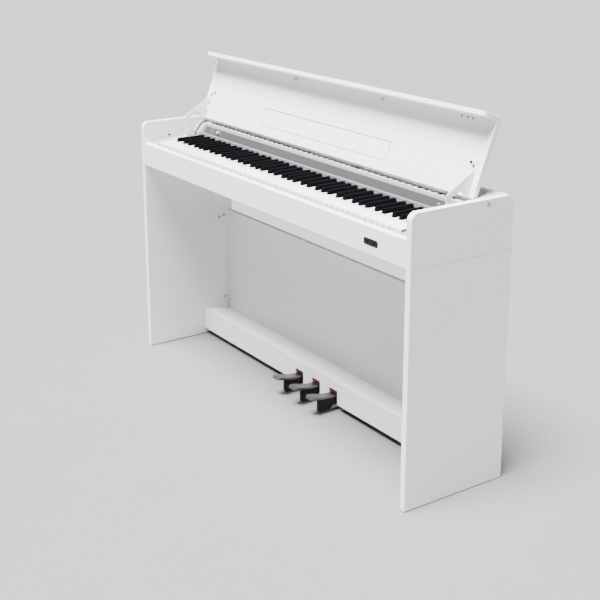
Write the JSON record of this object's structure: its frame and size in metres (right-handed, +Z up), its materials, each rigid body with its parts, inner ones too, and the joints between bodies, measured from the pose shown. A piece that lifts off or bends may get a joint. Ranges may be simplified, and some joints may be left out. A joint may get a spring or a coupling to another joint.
{
  "type": "digital piano on stand",
  "caption": "Slim console digital piano: full keyboard between two side panels, lid folded open with a music rest, back panel, and a pedal box with pedals across the bottom.",
  "frame": {"origin": "on the floor, midway between the side panels and midway between their front and rear edges", "axes": "+X to the right of a seated player, -Y towards the player, +Z up"},
  "size_m": [1.36, 0.325, 0.9778],
  "materials": {
    "cabinet": "satin white lacquer on board",
    "key_white": "glossy white",
    "key_black": "satin black",
    "panel_plastic": "satin mid grey",
    "rail_plastic": "satin light grey",
    "strip_gloss": "gloss dark grey",
    "grille_dark": "fine matt dark grey",
    "white_plastic": "satin white",
    "black_plastic": "matt black",
    "steel_white": "white powder coat",
    "steel_plate": "zinc plated",
    "pedal_metal": "satin nickel",
    "felt_red": "red felt",
    "glide_white": "matt off-white",
    "board_green": "printed board green",
    "speaker_black": "matt black"
  },
  "bodies": {
    "cabinet": {"back_panel": "cabinet", "bottom_board": "cabinet", "cheek_left": "cabinet", "cheek_right": "cabinet", "circuit_board": "board_green", "control_panel": "panel_plastic", "end_block_left": "white_plastic", "end_block_right": "white_plastic", "floor_feet": "glide_white", "headphone_plate": "black_plastic", "hinge_leaf_fixed": "steel_plate", "hinge_pin": "steel_plate", "jack_panel": "black_plastic", "key_felt": "felt_red", "key_frame": "steel_plate", "key_rod": "steel_plate", "key_slip": "cabinet", "light_rail": "rail_plastic", "panel_strip": "strip_gloss", "pedal_axle": "steel_plate", "pedal_box": "cabinet", "pedal_box_top": "cabinet", "pedal_bracket": "steel_plate", "pedal_felts": "felt_red", "rear_board": "cabinet", "screw_caps": "white_plastic", "side_panel_left": "cabinet", "side_panel_right": "cabinet", "speaker_grille": "grille_dark", "speakers": "speaker_black", "stop_bumpers": "glide_white", "top_rear_board": "cabinet"},
    "lid": {"lid_board": "cabinet", "lid_flap": "cabinet", "lid_arm_left": "steel_white", "lid_arm_right": "steel_white", "lid_fittings": "steel_plate", "flap_screws": "black_plastic", "hinge_leaf_lid": "steel_plate"},
    "music_rest": {"music_rest": "cabinet"},
    "volume_knob": {"volume_knob": "white_plastic"},
    "power_button": {"power_button": "panel_plastic"},
    "keys_a": {"keys_a": "key_white"},
    "keys_b": {"keys_b": "key_white"},
    "keys_c": {"keys_c": "key_white"},
    "keys_d": {"keys_d": "key_white"},
    "keys_e": {"keys_e": "key_white"},
    "keys_f": {"keys_f": "key_white"},
    "keys_g": {"keys_g": "key_white"},
    "keys_cs": {"keys_cs": "key_black"},
    "keys_ds": {"keys_ds": "key_black"},
    "keys_fs": {"keys_fs": "key_black"},
    "keys_gs": {"keys_gs": "key_black"},
    "keys_as": {"keys_as": "key_black"},
    "pedal_left": {"pedal_left": "pedal_metal", "pedal_body_left": "black_plastic"},
    "pedal_centre": {"pedal_centre": "pedal_metal", "pedal_body_centre": "black_plastic"},
    "pedal_right": {"pedal_right": "pedal_metal", "pedal_body_right": "black_plastic"}
  },
  "joints": [
    {"name": "lid_hinge", "type": "hinge", "parent": "cabinet", "child": "lid", "pos_m": [0, 0.0551, 0.7624], "axis": [-1, 0, 0], "range_deg": [-110.9, 0]},
    {"name": "music_rest_hinge", "type": "hinge", "parent": "lid", "child": "music_rest", "pos_m": [0, 0.05993, 0.79395], "axis": [1, 0, 0], "range_deg": [0, 90]},
    {"name": "keys_a_press", "type": "hinge", "parent": "cabinet", "child": "keys_a", "pos_m": [0, 0.07, 0.697], "axis": [1, 0, 0], "range_deg": [0, 2.7], "stiffness_Nm_per_rad": 12, "springref_deg": -11.46},
    {"name": "keys_b_press", "type": "hinge", "parent": "cabinet", "child": "keys_b", "pos_m": [0, 0.07, 0.697], "axis": [1, 0, 0], "range_deg": [0, 2.7], "stiffness_Nm_per_rad": 12, "springref_deg": -11.46},
    {"name": "keys_c_press", "type": "hinge", "parent": "cabinet", "child": "keys_c", "pos_m": [0, 0.07, 0.697], "axis": [1, 0, 0], "range_deg": [0, 2.7], "stiffness_Nm_per_rad": 12, "springref_deg": -11.46},
    {"name": "keys_d_press", "type": "hinge", "parent": "cabinet", "child": "keys_d", "pos_m": [0, 0.07, 0.697], "axis": [1, 0, 0], "range_deg": [0, 2.7], "stiffness_Nm_per_rad": 12, "springref_deg": -11.46},
    {"name": "keys_e_press", "type": "hinge", "parent": "cabinet", "child": "keys_e", "pos_m": [0, 0.07, 0.697], "axis": [1, 0, 0], "range_deg": [0, 2.7], "stiffness_Nm_per_rad": 12, "springref_deg": -11.46},
    {"name": "keys_f_press", "type": "hinge", "parent": "cabinet", "child": "keys_f", "pos_m": [0, 0.07, 0.697], "axis": [1, 0, 0], "range_deg": [0, 2.7], "stiffness_Nm_per_rad": 12, "springref_deg": -11.46},
    {"name": "keys_g_press", "type": "hinge", "parent": "cabinet", "child": "keys_g", "pos_m": [0, 0.07, 0.697], "axis": [1, 0, 0], "range_deg": [0, 2.7], "stiffness_Nm_per_rad": 12, "springref_deg": -11.46},
    {"name": "keys_cs_press", "type": "hinge", "parent": "cabinet", "child": "keys_cs", "pos_m": [0, 0.07, 0.697], "axis": [1, 0, 0], "range_deg": [0, 2.7], "stiffness_Nm_per_rad": 8, "springref_deg": -11.46},
    {"name": "keys_ds_press", "type": "hinge", "parent": "cabinet", "child": "keys_ds", "pos_m": [0, 0.07, 0.697], "axis": [1, 0, 0], "range_deg": [0, 2.7], "stiffness_Nm_per_rad": 8, "springref_deg": -11.46},
    {"name": "keys_fs_press", "type": "hinge", "parent": "cabinet", "child": "keys_fs", "pos_m": [0, 0.07, 0.697], "axis": [1, 0, 0], "range_deg": [0, 2.7], "stiffness_Nm_per_rad": 8, "springref_deg": -11.46},
    {"name": "keys_gs_press", "type": "hinge", "parent": "cabinet", "child": "keys_gs", "pos_m": [0, 0.07, 0.697], "axis": [1, 0, 0], "range_deg": [0, 2.7], "stiffness_Nm_per_rad": 8, "springref_deg": -11.46},
    {"name": "keys_as_press", "type": "hinge", "parent": "cabinet", "child": "keys_as", "pos_m": [0, 0.07, 0.697], "axis": [1, 0, 0], "range_deg": [0, 2.7], "stiffness_Nm_per_rad": 8, "springref_deg": -11.46},
    {"name": "pedal_left_press", "type": "hinge", "parent": "cabinet", "child": "pedal_left", "pos_m": [0, 0.105, 0.048], "axis": [1, 0, 0], "range_deg": [0, 3.4], "stiffness_Nm_per_rad": 30, "springref_deg": -6.88},
    {"name": "pedal_centre_press", "type": "hinge", "parent": "cabinet", "child": "pedal_centre", "pos_m": [0, 0.105, 0.048], "axis": [1, 0, 0], "range_deg": [0, 3.4], "stiffness_Nm_per_rad": 30, "springref_deg": -6.88},
    {"name": "pedal_right_press", "type": "hinge", "parent": "cabinet", "child": "pedal_right", "pos_m": [0, 0.105, 0.048], "axis": [1, 0, 0], "range_deg": [0, 3.4], "stiffness_Nm_per_rad": 30, "springref_deg": -6.88},
    {"name": "volume_turn", "type": "hinge", "parent": "cabinet", "child": "volume_knob", "pos_m": [-0.505, 0.02544, 0.73442], "axis": [0, -0.7849, 0.6196], "range_deg": [-150, 120]},
    {"name": "power_press", "type": "slide", "parent": "cabinet", "child": "power_button", "axis": [0, 0.7849, -0.6196], "range_m": [0, 0.0012], "stiffness_N_per_m": 600, "springref_m": -0.001}
  ]
}
